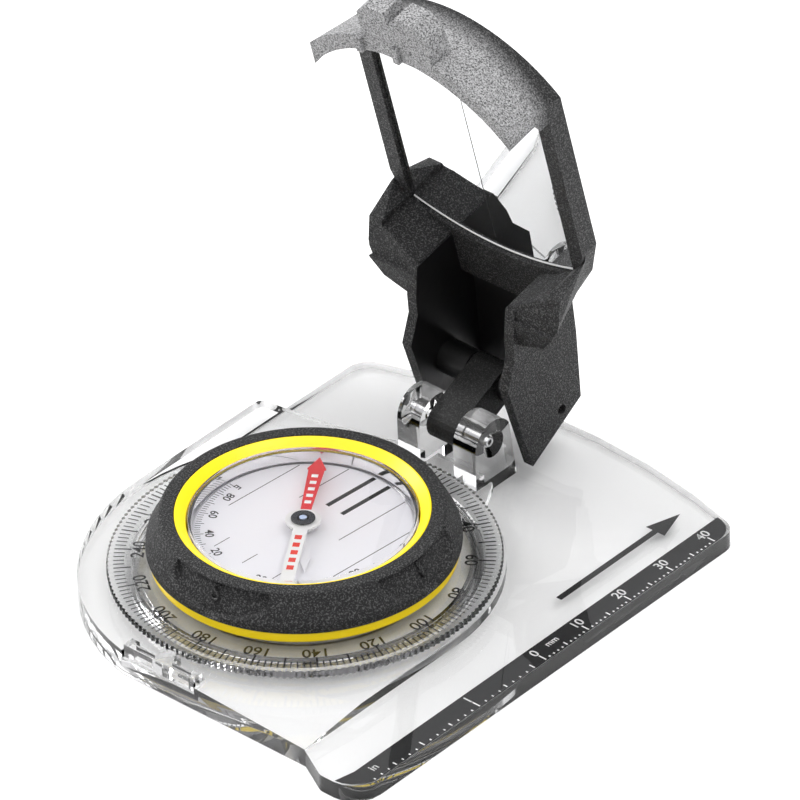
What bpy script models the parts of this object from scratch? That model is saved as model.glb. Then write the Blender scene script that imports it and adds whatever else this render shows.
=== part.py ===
"""Baseplate compass with a mirror sighting cover, modelled as the pieces it is assembled from.

The origin is on the underside of the base plate, under the middle of the dial. +X points to the ruler
edge, +Y along the direction of travel, +Z up. Sizes in this script are millimetres; a mesh is scaled to
metres when it is made. The cover is drawn in its own axes, with the origin on its pivot: x across, y up
its length and z out of the side that carries the mirror.
"""

import math

import bpy
import bmesh
from mathutils import Matrix, Vector

MM = 0.001
GAP = 0.3               # play between pieces that sit on or in each other
ROUND_STEPS = 64        # sides of the large turned pieces
SMALL_STEPS = 24        # sides of the small turned pieces
CUT_STEPS = 96          # sides of the bores in the base plate

# base plate
PLATE_T = 3.0           # thickness of the ruler edge and the front
PLATFORM_RISE = 1.5     # height of the platform over it
POCKET_Z = 1.0          # floor of the pocket under the dial
RULER_W = 13.5          # ruler side, from the platform's wall to the ruler edge
FRONT_L = 20.7          # front part, from the lower hinge pin to the foremost point
FRONT_ARC_R = 118.0
FOOT_L = 3.1            # how far the ruler edge runs on behind the rear edge
FOOT_R = 5.0

# capsule
CAPSULE_R = 17.85
CUP_WALL = 0.6
CUP_BOTTOM = 4.6
CUP_FLOOR_T = 3.0
CUP_H = 7.2
SEAL_T = 0.5
LID_T = 1.0
DISC_T = 0.5
PLUG_R = 0.6

# dial and bezel
CORE_WALL = 2.15        # wall of the core, round the capsule
CORE_RIM_W = 4.1
CORE_RIM_T = 2.0
CORE_LIP_H = 0.7        # top of the core over the lid
GRIP_TOP_T = 1.0        # rubber at the top edge
GRIP_T = 4.0            # rubber at the foot
FACET_COUNT = 4
FACET_R = 9.0
FACET_DEPTH = 0.6
HUB_WALL = 6.0          # part of the degree ring that turns in the pocket of the plate
HUB_PLAY = 0.4
FLANGE_W = 3.9          # how far the degree ring covers the platform, to the root of its teeth
FLANGE_T = 1.2
TOOTH_H = 0.3
TOOTH_COUNT = 90
DRAG_T = 0.5
SPRING_T = 0.6          # split spring ring that holds the hub down
SPRING_BITE = 0.6       # how deep it sits in the hub and in the plate
SPRING_SLIT = 6.0       # gap between its ends, in degrees

# needle
NEEDLE_PLAY = 0.6       # room between its point and the wall of the cup
NEEDLE_W = 2.2
NEEDLE_T = 0.4
NEEDLE_RISE = 2.8       # height over the printed disc
NEEDLE_BEARING = -33.0
HUB_DISC_R = 2.8
CAP_R = 1.9
CAP_STEM_R = 1.35
JEWEL_R = 0.6
POST_R = 0.5
POST_FOOT_R = 1.5
MAGNET_R = 2.5
MAGNET_T = 0.8
POINTER_L = 12.5
POINTER_BEARING = 137.0

# hinge
HINGE_RISE = 8.3        # lower pin over the thin part of the plate
LUG_R = 4.3
LUG_IN = 3.5            # inner face of each lug
LUG_OUT = 8.15
LUG_FOOT_L = 5.1
PIN_R = 0.85
PIN_BORE = 0.42
PIN_PLAY = 0.25
LINK_L = 10.22
LINK_R = 3.0
LINK_TILT = 25.8        # rise of the link over +Y, in degrees
LINK_PLAY = 0.35

# cover
COVER_TILT = 103.6      # lean of the cover's length from +Y, in degrees
COVER_PLAY = 3.5        # room over the bezel when the cover is shut
BACK_T = 1.0
FRAME_T = 3.5           # from the frame's face to the back's outer surface
FRAME_W = 3.1           # side rail beside the mirror
PLATE_IN = 9.1          # inner face of the two side plates
PLATE_OUT = 11.0
SIDE_TAIL = 9.7         # side plate below the pivot
LIP_W = 2.9
LIP_FRONT = 2.0         # front of the lip, from the pivot
CHEEK_PLAY = 1.4
CHEEK_FRONT = 2.4
MIRROR_HALF_W = 16.7
MIRROR_T = 0.8
MIRROR_SINK = 0.8
MIRROR_DIP = 2.9
MIRROR_DOWN = 20.5      # lower corners of the mirror, from the middle of the dial
PAD_T = 0.3
SIGHT_RISE = 9.2        # sight block over the lip
SIGHT_HALF_W = 7.0
SIGHT_BACK = 2.2
NOTCH_HALF_W = 1.2
NOTCH_DEPTH = 2.2
RIB_W = 1.2
BOSS_R = 2.9
CORD_HOLE_R = 0.9
WEB_TAIL = 5.0          # back wall between the side plates, below the pivot

# catch at the rear edge
CATCH_W = 14.4
CATCH_X = 1.0           # its middle
CATCH_DEPTH = 2.2
CATCH_BAR = 1.2
CATCH_RISE = 1.1        # its top over the platform

# what follows from them, from the middle of the dial outwards
CORE_BORE = CAPSULE_R + GAP
CORE_R = CORE_BORE + CORE_WALL
CORE_RIM_R = CORE_R + CORE_RIM_W
GRIP_BORE = CORE_R + GAP
GRIP_TOP_R = GRIP_BORE + GRIP_TOP_T
GRIP_R = GRIP_BORE + GRIP_T
HUB_BORE = CORE_R + GAP
HUB_R = HUB_BORE + HUB_WALL
SPRING_IN = HUB_R - SPRING_BITE
SPRING_OUT = HUB_R + HUB_PLAY + SPRING_BITE
FLANGE_R = HUB_R + FLANGE_W
PLATFORM_R = FLANGE_R + 4.9
STEP_X = FLANGE_R + 0.7
RULER_X = STEP_X + RULER_W
LEFT_X = 3.4 - PLATFORM_R
CORNER_Y = PLATFORM_R - 6.8
REAR_Y = -FLANGE_R - 4.3
FOOT_Y = REAR_Y - FOOT_L
HINGE_Y = FLANGE_R + 4.8
FRONT_Y = HINGE_Y + FRONT_L
CUP_INSIDE = CAPSULE_R - CUP_WALL
NEEDLE_L = CUP_INSIDE - NEEDLE_PLAY

# and from the underside upwards
PLATFORM_Z = PLATE_T + PLATFORM_RISE
SPRING_Z = PLATFORM_Z - 1.5
FLANGE_Z = PLATFORM_Z + GAP
TICK_Z = FLANGE_Z + FLANGE_T
CUP_TOP = CUP_BOTTOM + CUP_H
CUP_FLOOR_Z = CUP_BOTTOM + CUP_FLOOR_T
DISC_Z = CUP_FLOOR_Z + GAP
LID_Z = CUP_TOP + SEAL_T + 2 * GAP
BEZEL_TOP = LID_Z + LID_T + CORE_LIP_H
NEEDLE_Z = DISC_Z + DISC_T + NEEDLE_RISE
HINGE_Z = PLATE_T + HINGE_RISE

# the cover, in its own axes; shut, its pivot is almost level with the lower pin
SHUT_Z = HINGE_Z - 0.2
DIAL_L = HINGE_Y + LINK_L
FRAME_FACE = BEZEL_TOP + COVER_PLAY - SHUT_Z
SHELL_BACK = FRAME_FACE + FRAME_T
MIRROR_FACE = FRAME_FACE + MIRROR_SINK
COVER_HALF_W = MIRROR_HALF_W + FRAME_W
LIP_IN_R = GRIP_R + GAP
LIP_OUT_R = LIP_IN_R + LIP_W
LIP_BACK_R = LIP_IN_R + 0.5
CHEEK_R = GRIP_R + CHEEK_PLAY
MIRROR_TOP_R = LIP_IN_R - 2.5
MIRROR_LOW = DIAL_L - MIRROR_DOWN
SIGHT_TOP = DIAL_L + LIP_IN_R + SIGHT_RISE


def clear_scene():
    for item in list(bpy.data.objects):
        bpy.data.objects.remove(item, do_unlink=True)


def material(name, colour, roughness, metallic=0.0, transmission=0.0):
    """A Principled material with the finish of one sub-part."""
    made = bpy.data.materials.new(name)
    made.use_nodes = True
    shader = made.node_tree.nodes["Principled BSDF"]
    shader.inputs["Base Color"].default_value = (*colour, 1.0)
    shader.inputs["Roughness"].default_value = roughness
    shader.inputs["Metallic"].default_value = metallic
    shader.inputs["Transmission Weight"].default_value = transmission
    return made


def arc(centre, radius, start, end, steps):
    """Points on an arc, from start to end in degrees, both ends included."""
    angles = [math.radians(start + (end - start) * i / steps) for i in range(steps + 1)]
    return [(centre[0] + radius * math.cos(a), centre[1] + radius * math.sin(a)) for a in angles]


def rounded(corners, steps=5):
    """A polygon from (x, y, radius) corners; each corner with a radius becomes an arc."""
    points = []
    for i, (x, y, radius) in enumerate(corners):
        here = Vector((x, y))
        if radius == 0:
            points.append((x, y))
            continue
        before = (Vector(corners[i - 1][:2]) - here).normalized()
        after = (Vector(corners[(i + 1) % len(corners)][:2]) - here).normalized()
        half = before.angle(after) / 2
        middle = here + (before + after).normalized() * (radius / math.sin(half))
        reach = radius / math.tan(half)
        first = here + before * reach - middle
        turn = first.angle_signed(here + after * reach - middle)
        for k in range(steps + 1):
            step = Matrix.Rotation(-turn * k / steps, 2) @ first
            points.append(tuple(middle + step))
    return points


def add_prism(bm, outline, low, high, axis="Z"):
    """Extrudes a closed outline. For axis X the outline is (y, z), and for Z it is (x, y)."""
    place = (lambda p: (low, p[0], p[1])) if axis == "X" else (lambda p: (p[0], p[1], low))
    face = bm.faces.new([bm.verts.new(place(p)) for p in outline])
    grown = bmesh.ops.extrude_face_region(bm, geom=[face])
    moved = [v for v in grown["geom"] if isinstance(v, bmesh.types.BMVert)]
    rise = high - low
    bmesh.ops.translate(bm, verts=moved, vec=(rise, 0, 0) if axis == "X" else (0, 0, rise))


def prism(outline, low, high, axis="Z"):
    bm = bmesh.new()
    add_prism(bm, outline, low, high, axis)
    return bm


def loft(bottom, top, low, high):
    """A solid between two outlines with the same number of points."""
    bm = bmesh.new()
    loops = []
    for outline, z in ((bottom, low), (top, high)):
        verts = [bm.verts.new((x, y, z)) for x, y in outline]
        bm.faces.new(verts)
        loops.append(verts)
    count = len(bottom)
    for i in range(count):
        k = (i + 1) % count
        bm.faces.new((loops[0][i], loops[0][k], loops[1][k], loops[1][i]))
    bmesh.ops.triangulate(bm, faces=bm.faces)
    return bm


def turned(profile, steps=ROUND_STEPS, centre=(0, 0), start=0.0, sweep=360.0):
    """Turns a closed (radius, z) profile about an upright axis. Points on the axis close the shape."""
    bm = bmesh.new()
    ring = [bm.verts.new((r, 0, z)) for r, z in profile]
    edges = [bm.edges.new((ring[i], ring[(i + 1) % len(ring)])) for i in range(len(ring))]
    whole = sweep >= 360
    geom = ring + edges if whole else ring + edges + [bm.faces.new(ring)]
    bmesh.ops.rotate(bm, verts=ring, matrix=Matrix.Rotation(math.radians(start), 3, "Z"))
    bmesh.ops.spin(bm, geom=geom, angle=math.radians(sweep), steps=steps, axis=(0, 0, 1),
                   cent=(0, 0, 0), use_merge=whole, use_duplicate=False)
    bmesh.ops.remove_doubles(bm, verts=bm.verts, dist=1e-5)
    bmesh.ops.translate(bm, verts=bm.verts, vec=(*centre, 0))
    return bm


def along_x(bm, y=0.0, z=0.0):
    """Lays an upright turned shape along X, through (y, z)."""
    bmesh.ops.rotate(bm, verts=bm.verts, matrix=Matrix.Rotation(math.radians(90), 3, "Y"))
    bmesh.ops.translate(bm, verts=bm.verts, vec=(0, y, z))
    return bm


def rod(radius, length, y=0.0, z=0.0, steps=SMALL_STEPS):
    """A round bar along X, centred on X = 0."""
    half = length / 2
    return along_x(turned([(0, half), (radius, half), (radius, -half), (0, -half)], steps), y, z)


def cylinder(radius, low, high, steps=SMALL_STEPS, centre=(0, 0)):
    return turned([(0, high), (radius, high), (radius, low), (0, low)], steps, centre)


def piece(name, bm, finish=None, parent=None, sharp=35):
    """Makes an object from a shape in millimetres and, without a finish, a cutter or a filler for one."""
    bmesh.ops.recalc_face_normals(bm, faces=bm.faces)
    bmesh.ops.scale(bm, verts=bm.verts, vec=(MM, MM, MM))
    mesh = bpy.data.meshes.new(name)
    bm.to_mesh(mesh)
    bm.free()
    mesh.shade_smooth()
    mesh.set_sharp_from_angle(angle=math.radians(sharp))
    made = bpy.data.objects.new(name, mesh)
    bpy.context.scene.collection.objects.link(made)
    made.parent = parent
    if finish is None:
        made.hide_render = True
        made.display_type = "WIRE"
    else:
        mesh.materials.append(finish)
    return made


def combine(target, other, operation, solver="EXACT"):
    """Adds, cuts or keeps with another shape, as a Boolean that stays on the object."""
    step = target.modifiers.new(other.name, "BOOLEAN")
    step.operation = operation
    step.solver = solver
    step.object = other
    return target


def guide(name, place, tilt=0.0, parent=None):
    """An empty at a pivot, turned about X by tilt degrees."""
    made = bpy.data.objects.new(name, None)
    bpy.context.scene.collection.objects.link(made)
    made.parent = parent
    made.location = Vector(place) * MM
    made.rotation_euler = (math.radians(tilt), 0, 0)
    return made


def front_edge_y(x):
    """The front edge is an arc about a point on the middle line of the whole plate."""
    middle = (RULER_X + LEFT_X) / 2 + 2.2
    return FRONT_Y - FRONT_ARC_R + math.sqrt(FRONT_ARC_R ** 2 - (x - middle) ** 2)


def plate_outline():
    """The whole plate, anticlockwise from the foot: ruler edge, front arc, left edge, rear arc."""
    front_count = 7
    corners = [(STEP_X, REAR_Y, 0), (STEP_X + 5.8, FOOT_Y, 2.0), (RULER_X, FOOT_Y, FOOT_R)]
    corners.append((RULER_X, front_edge_y(RULER_X), 3.2))
    for i in range(1, front_count):
        x = RULER_X + (LEFT_X - RULER_X) * i / front_count
        corners.append((x, front_edge_y(x), 0))
    corners.append((LEFT_X, front_edge_y(LEFT_X), 4.0))
    left_turn = math.degrees(math.acos(LEFT_X / PLATFORM_R))
    corners.append((LEFT_X, PLATFORM_R * math.sin(math.radians(left_turn)), 0))
    rear_turn = 180 + math.degrees(math.asin(-REAR_Y / PLATFORM_R))
    rear = arc((0, 0), PLATFORM_R, left_turn, rear_turn, 18)
    corners += [(x, y, 0) for x, y in rear[1:]]
    return rounded(corners)


def platform_outline():
    """The raised part: round at the rear left, square at the front left, straight on the ruler side."""
    rear_turn = 180 + math.degrees(math.asin(-REAR_Y / PLATFORM_R))
    rear = arc((0, 0), PLATFORM_R, 180, rear_turn, 14)
    front_turn = 112
    right = arc((0, 0), STEP_X, 0, 68, 12)
    front = arc((0, 0), PLATFORM_R, 76, front_turn, 5)
    corners = [(STEP_X, REAR_Y, 0)] + [(x, y, 0) for x, y in right + front]
    corners.append((-PLATFORM_R + 14.5, CORNER_Y + 2.2, 0))
    corners.append((-PLATFORM_R, CORNER_Y, 1.2))
    corners += [(x, y, 0) for x, y in rear]
    return rounded(corners)


def lug_outline():
    """Side view of a lug: upright face towards the dial, round top, sloping back."""
    top = arc((HINGE_Y, HINGE_Z), LUG_R, 180, 28, 12)
    bottom, foot = PLATE_T - 1.5, HINGE_Y + LUG_FOOT_L
    return [(foot, bottom), (HINGE_Y - LUG_R, bottom)] + top + [(foot, PLATE_T + 0.8)]


def base_plate(finish):
    """The clear plate: thin part, platform, lugs, then the bores, the catch recess and the rear slope."""
    plate = piece("base_plate", prism(plate_outline(), 0, PLATE_T), finish)
    platform = piece("cut_platform", prism(platform_outline(), PLATE_T - 1.5, PLATFORM_Z))
    slope = loft([(STEP_X + 2, REAR_Y - 2), (-2, REAR_Y - 2), (STEP_X + 2, -21)],
                 [(STEP_X + 2, REAR_Y - 2), (-2, REAR_Y - 2), (STEP_X + 2, -21)], PLATFORM_Z, PLATFORM_Z + 3)
    slope.verts.ensure_lookup_table()
    slope.verts[0].co.z = PLATE_T - 0.1
    combine(platform, piece("cut_slope", slope), "DIFFERENCE")
    combine(plate, platform, "UNION", "MANIFOLD")
    for side, name in ((1, "cut_lug_right"), (-1, "cut_lug_left")):
        ends = sorted((side * LUG_IN, side * LUG_OUT))
        lug = piece(name, prism(lug_outline(), ends[0], ends[1], "X"))
        combine(plate, lug, "UNION", "MANIFOLD")
    pin_hole = rod(PIN_R + PIN_PLAY, 2 * LUG_OUT + 4, HINGE_Y, HINGE_Z)
    combine(plate, piece("cut_pin_hole", pin_hole), "DIFFERENCE", "MANIFOLD")
    for side, name in ((1, "cut_sink_right"), (-1, "cut_sink_left")):
        wide, deep = LUG_R * 0.55, 1.4
        cone = turned([(0, side * (LUG_OUT + 1)), (wide, side * (LUG_OUT + 1)), (wide, side * LUG_OUT),
                       (PIN_R, side * (LUG_OUT - deep)), (0, side * (LUG_OUT - deep))], SMALL_STEPS)
        combine(plate, piece(name, along_x(cone, HINGE_Y, HINGE_Z)), "DIFFERENCE", "MANIFOLD")
    pocket_r, groove_r = HUB_R + HUB_PLAY, SPRING_OUT + GAP
    groove_low, groove_high = SPRING_Z - GAP, SPRING_Z + SPRING_T + GAP
    pocket = [(0, PLATFORM_Z + 1), (pocket_r, PLATFORM_Z + 1), (pocket_r, groove_high),
              (groove_r, groove_high), (groove_r, groove_low), (pocket_r, groove_low), (pocket_r, POCKET_Z),
              (0, POCKET_Z)]
    combine(plate, piece("cut_bezel_pocket", turned(pocket, CUT_STEPS)), "DIFFERENCE", "MANIFOLD")
    half, inner, nose = CATCH_W / 2 + GAP, REAR_Y + CATCH_DEPTH + GAP, -(FLANGE_R + TOOTH_H)
    side = [(half, REAR_Y - 3), (half, inner), (2.4, inner), (1.2, nose)]
    recess = [(CATCH_X + x, y) for x, y in side] + [(CATCH_X - x, y) for x, y in reversed(side)]
    combine(plate, piece("cut_recess", prism(recess, PLATE_T, PLATFORM_Z + 2)), "DIFFERENCE", "MANIFOLD")
    return plate


def bezel_catch(finish):
    """Clear bar in the rear recess, with a tongue whose nose bears on the teeth of the degree ring."""
    rear = REAR_Y + 0.2
    bar = rear + CATCH_BAR
    inner = REAR_Y + CATCH_DEPTH
    nose = -(FLANGE_R + TOOTH_H + GAP)
    half = CATCH_W / 2
    side = [(half, rear), (half, inner), (half - 1.5, inner), (half - 1.5, bar), (1.8, bar), (0.6, nose)]
    outline = [(CATCH_X + x, y) for x, y in side] + [(CATCH_X - x, y) for x, y in reversed(side)]
    return piece("bezel_catch", prism(outline, PLATE_T + GAP, PLATFORM_Z + CATCH_RISE), finish)


def azimuth_ring(finish):
    """Clear degree ring: a toothed flange on the platform and a grooved hub that turns in the pocket."""
    hub_low = POCKET_Z + DRAG_T + 2 * GAP
    bm = bmesh.new()
    outer, inner = [], []
    for i in range(2 * TOOTH_COUNT):
        turn = math.pi * i / TOOTH_COUNT
        reach = FLANGE_R + (TOOTH_H if i % 2 else 0)
        outer.append((reach * math.cos(turn), reach * math.sin(turn)))
    add_prism(bm, outer, FLANGE_Z, TICK_Z)
    ring = piece("azimuth_ring", bm, finish)
    hub_top = FLANGE_Z + FLANGE_T / 2
    groove_r = SPRING_IN - GAP
    groove_low, groove_high = SPRING_Z - GAP, SPRING_Z + SPRING_T + GAP
    hub = [(0, hub_top), (HUB_R, hub_top), (HUB_R, groove_high), (groove_r, groove_high),
           (groove_r, groove_low), (HUB_R, groove_low), (HUB_R, hub_low), (0, hub_low)]
    combine(ring, piece("cut_hub", turned(hub)), "UNION")
    bore = cylinder(HUB_BORE, hub_low - 1, TICK_Z + 1, ROUND_STEPS)
    combine(ring, piece("cut_hub_bore", bore), "DIFFERENCE")
    return ring


def ring_piece(name, inner, outer, low, high, finish, steps=ROUND_STEPS):
    profile = [(inner, high), (outer, high), (outer, low), (inner, low)]
    return piece(name, turned(profile, steps), finish)


def bezel_parts(finish_core, finish_rubber, finish_clear, finish_felt):
    """Core, grip, retainer and drag ring. They turn with the degree ring."""
    ledge_r = CAPSULE_R - 1.45
    ledge_z = CUP_BOTTOM - GAP
    rim_low = TICK_Z + GAP
    rim_top = rim_low + CORE_RIM_T
    cone_r = CORE_R - 0.4
    low = POCKET_Z + GAP
    core = [(ledge_r, low), (CORE_R, low), (CORE_R, rim_low), (CORE_RIM_R, rim_low), (CORE_RIM_R, rim_top),
            (CORE_R, rim_top), (CORE_R, BEZEL_TOP), (cone_r, BEZEL_TOP), (CORE_BORE, BEZEL_TOP - 1.1),
            (CORE_BORE, ledge_z), (ledge_r, ledge_z)]
    piece("bezel_core", turned(core), finish_core)
    low, top = rim_top + GAP, BEZEL_TOP - 0.2
    grip = [(GRIP_BORE, low), (GRIP_R - 0.5, low), (GRIP_R, low + 0.5), (GRIP_R - 0.15, low + 1.5),
            (GRIP_TOP_R + 0.5, top - 0.5), (GRIP_TOP_R, top), (GRIP_BORE, top)]
    rubber = piece("bezel_grip", turned(grip), finish_rubber)
    slope = math.degrees(math.atan2(top - low - 2.0, GRIP_R - GRIP_TOP_R - 0.6))
    for i in range(FACET_COUNT):
        cutter = cylinder(FACET_R, 0, 6, 32)
        bmesh.ops.scale(cutter, verts=cutter.verts, vec=(0.75, 1, 1))
        bmesh.ops.rotate(cutter, verts=cutter.verts, matrix=Matrix.Rotation(math.radians(90 - slope), 3, "Y"))
        reach = (GRIP_R + GRIP_TOP_R) / 2 + 0.9 - FACET_DEPTH
        bmesh.ops.translate(cutter, verts=cutter.verts, vec=(reach, 0, (low + top) / 2 + 1.2))
        turn = Matrix.Rotation(math.radians(360 * i / FACET_COUNT + 84.5), 3, "Z")
        bmesh.ops.rotate(cutter, verts=cutter.verts, matrix=turn)
        combine(rubber, piece(f"cut_facet_{i}", cutter), "DIFFERENCE")
    drag_low = POCKET_Z + GAP
    ring_piece("drag_ring", HUB_BORE + 0.6, HUB_R - 0.6, drag_low, drag_low + DRAG_T, finish_felt)
    high = SPRING_Z + SPRING_T
    spring = [(SPRING_IN, high), (SPRING_OUT, high), (SPRING_OUT, SPRING_Z), (SPRING_IN, SPRING_Z)]
    slit = SPRING_SLIT / 2
    piece("bezel_retainer", turned(spring, ROUND_STEPS, (0, 0), slit, 360 - 2 * slit), finish_clear)


def capsule_parts(clear, rubber, film, steel):
    """Cup, seal, lid, plug, printed disc and pivot post."""
    cup = [(0, CUP_BOTTOM), (CAPSULE_R, CUP_BOTTOM), (CAPSULE_R, CUP_TOP), (CUP_INSIDE, CUP_TOP),
           (CUP_INSIDE, CUP_FLOOR_Z), (0, CUP_FLOOR_Z)]
    cup = piece("capsule_cup", turned(cup), clear)
    fill = (0, 3.1 - CUP_INSIDE)
    combine(cup, piece("cut_fill", cylinder(PLUG_R + GAP, 0, CUP_FLOOR_Z + 1, 16, fill)), "DIFFERENCE")
    piece("fill_plug", cylinder(PLUG_R, CUP_BOTTOM + 0.2, CUP_FLOOR_Z - 0.2, 16, fill), clear)
    seal_low = CUP_TOP + GAP
    ring_piece("capsule_seal", CUP_INSIDE + 0.1, CAPSULE_R - 0.15, seal_low, seal_low + SEAL_T, rubber)
    piece("capsule_lid", cylinder(CAPSULE_R, LID_Z, LID_Z + LID_T, ROUND_STEPS), clear)
    ring_piece("meridian_disc", POST_R + GAP + 0.1, CUP_INSIDE - 0.4, DISC_Z, DISC_Z + DISC_T, film)
    foot = DISC_Z + DISC_T + GAP
    tip = NEEDLE_Z + NEEDLE_T / 2
    post = [(0, DISC_Z), (POST_R, DISC_Z), (POST_R, foot), (POST_FOOT_R, foot), (POST_FOOT_R, foot + GAP),
            (POST_R, foot + GAP), (POST_R, tip - 0.8), (0, tip)]
    piece("pivot_post", turned(post, 16), steel)


def needle_outline():
    """Arrow at the north end, square tail, waist at the hub; drawn along +Y."""
    half = NEEDLE_W / 2
    right = [(half, -NEEDLE_L), (half, -HUB_DISC_R), (half * 0.75, HUB_DISC_R), (half * 1.15, NEEDLE_L * 0.8),
             (half * 1.35, NEEDLE_L * 0.81), (0, NEEDLE_L)]
    return right + [(-x, y) for x, y in reversed(right[:-1])]


def turn_to(bm, bearing):
    """Turns a shape drawn along +Y to a compass bearing, clockwise from +Y."""
    bmesh.ops.rotate(bm, verts=bm.verts, matrix=Matrix.Rotation(-math.radians(bearing), 3, "Z"))
    return bm


def needle_parts(paint, black, jewel, magnet_steel, pale):
    """Needle, cap, jewel and magnet, and the slope pointer that hangs on the same post."""
    low, high = NEEDLE_Z, NEEDLE_Z + NEEDLE_T
    stem_hole = CAP_STEM_R + GAP
    blade = piece("needle_blade", turn_to(prism(needle_outline(), low, high), NEEDLE_BEARING), paint)
    combine(blade, piece("cut_hub_disc", cylinder(HUB_DISC_R, low, high)), "UNION")
    combine(blade, piece("cut_stem", cylinder(stem_hole, low - 1, high + 1)), "DIFFERENCE")
    bore = JEWEL_R + GAP
    cap_low = high + GAP
    cap_top = cap_low + 0.5
    stem_low = low - 0.1
    cap = [(bore, cap_top), (CAP_R, cap_top), (CAP_R, cap_low), (CAP_STEM_R, cap_low), (CAP_STEM_R, stem_low),
           (bore, stem_low)]
    piece("needle_cap", turned(cap, SMALL_STEPS), black)
    tip = NEEDLE_Z + NEEDLE_T / 2
    piece("needle_jewel", cylinder(JEWEL_R, tip + GAP, cap_top, 16), jewel)
    magnet_top = stem_low - GAP
    magnet_low = magnet_top - MAGNET_T
    ring_piece("needle_magnet", POST_R + GAP, MAGNET_R, magnet_low, magnet_top, magnet_steel, SMALL_STEPS)
    level = DISC_Z + DISC_T + 3 * GAP
    outline = [(0.5, 0), (0.9, 0.72 * POINTER_L), (0, POINTER_L), (-0.9, 0.72 * POINTER_L), (-0.5, 0)]
    pointer = piece("clinometer_pointer", turn_to(prism(outline, level, level + 0.25), POINTER_BEARING), pale)
    combine(pointer, piece("cut_pointer_hub", cylinder(2.0, level, level + 0.25)), "UNION")
    combine(pointer, piece("cut_pointer_hole", cylinder(POST_R + GAP, level - 0.2, level + 1)), "DIFFERENCE")


def hinge_parts(steel, black):
    """The tubular lower pin and the link with its two barrels. Returns the empty on the upper pivot."""
    half = LUG_OUT - 0.7
    tube = [(PIN_BORE, half), (PIN_R, half), (PIN_R, -half), (PIN_BORE, -half)]
    lower = guide("lower_pivot", (0, HINGE_Y, HINGE_Z), LINK_TILT)
    piece("hinge_pin", along_x(turned(tube, 16), HINGE_Y, HINGE_Z), steel)
    outline = arc((0, 0), LINK_R, 90, 270, 12) + arc((LINK_L, 0), LINK_R, -90, 90, 12)
    width = 2 * (LUG_IN - LINK_PLAY)
    link = piece("hinge_link", prism(outline, -width / 2, width / 2, "X"), black, lower)
    for at, name in ((0.0, "cut_link_low"), (LINK_L, "cut_link_high")):
        hole = rod(PIN_R + PIN_PLAY, width + 2, at, steps=16)
        combine(link, piece(name, hole, None, lower), "DIFFERENCE")
    return guide("upper_pivot", (0, LINK_L, 0), COVER_TILT - LINK_TILT, lower)


def cover_outline(low_l):
    """Plan of the cover from low_l upwards: waist, shoulder, side and round top."""
    top_r = LIP_BACK_R - 0.6
    corner_turn = math.degrees(math.acos(COVER_HALF_W / top_r))
    top = arc((0, DIAL_L), top_r, corner_turn, 180 - corner_turn, 16)
    half = [(PLATE_OUT, low_l), (PLATE_OUT, 13.3), (COVER_HALF_W - 2.4, MIRROR_LOW - 2.0),
            (COVER_HALF_W, MIRROR_LOW + 5.0)]
    return half + top + [(-x, y) for x, y in reversed(half)]


def mirror_outline(grow=0.0):
    """The mirror: straight sides, round top, lower edge that dips in the middle."""
    half = MIRROR_HALF_W + grow
    dip_r = (MIRROR_HALF_W ** 2 + MIRROR_DIP ** 2) / (2 * MIRROR_DIP)
    top_r = MIRROR_TOP_R + grow
    side = math.degrees(math.acos(half / top_r))
    swing = math.degrees(math.asin(half / (dip_r + grow)))
    centre = MIRROR_LOW - MIRROR_DIP + dip_r
    bottom = arc((0, centre), dip_r + grow, 270 - swing, 270 + swing, 10)
    return bottom + arc((0, DIAL_L), top_r, side, 180 - side, 14)


def side_plate(side):
    """One side plate: a slanted tail below the pivot and the end of a cheek above it."""
    outline = [(21.0, 1.6), (15.8, 3.4), (12.4, 4.0), (8.0, 6.9), (-SIDE_TAIL, 5.7), (4.2 - SIDE_TAIL, -7.4),
               (6.9, 0.8 - SHELL_BACK), (13.3, -SHELL_BACK), (21.0, -SHELL_BACK)]
    ends = sorted((side * PLATE_IN, side * PLATE_OUT))
    return prism(outline, ends[0], ends[1], "X")


def cheek(side):
    """One cheek: an outer wall that slants outwards, from just inside the frame's edge."""
    low, high = -FRAME_FACE - 2.0, CHEEK_FRONT
    wide, neck, top = COVER_HALF_W - 0.15, PLATE_OUT - 0.15, MIRROR_LOW + 6.5
    inner = PLATE_IN + 0.2
    foot = [(inner, 13.5), (neck, 13.5), (wide - 2.4, MIRROR_LOW - 1.9), (wide, MIRROR_LOW + 5.1),
            (wide, top), (inner, top)]
    head = [(inner, 14.2), (neck, 14.5), (wide - 3.2, 16.4), (wide, 20.4), (wide, top), (inner, top)]
    return loft([(side * x, y) for x, y in foot], [(side * x, y) for x, y in head], low, high)


def sight_block():
    """The block on the lip, with the notch that is sighted through."""
    low, notch = DIAL_L + LIP_IN_R - 0.2, SIGHT_TOP - NOTCH_DEPTH
    half = [(NOTCH_HALF_W * 0.7, notch), (NOTCH_HALF_W, SIGHT_TOP), (SIGHT_HALF_W - 2.0, SIGHT_TOP),
            (SIGHT_HALF_W, SIGHT_TOP - 2.0), (SIGHT_HALF_W, low)]
    return prism([(-x, y) for x, y in half] + list(reversed(half)), -SIGHT_BACK, LIP_FRONT)


def back_web():
    """The back wall between the side plates, along their rear edges to below the pivot."""
    rear = [(14.5, -SHELL_BACK), (13.3, -SHELL_BACK), (6.9, 0.8 - SHELL_BACK), (-WEB_TAIL, 3.0 - SHELL_BACK)]
    outline = rear + [(y, z + BACK_T) for y, z in reversed(rear)]
    return prism(outline, -PLATE_IN - 0.5, PLATE_IN + 0.5, "X")


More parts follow.
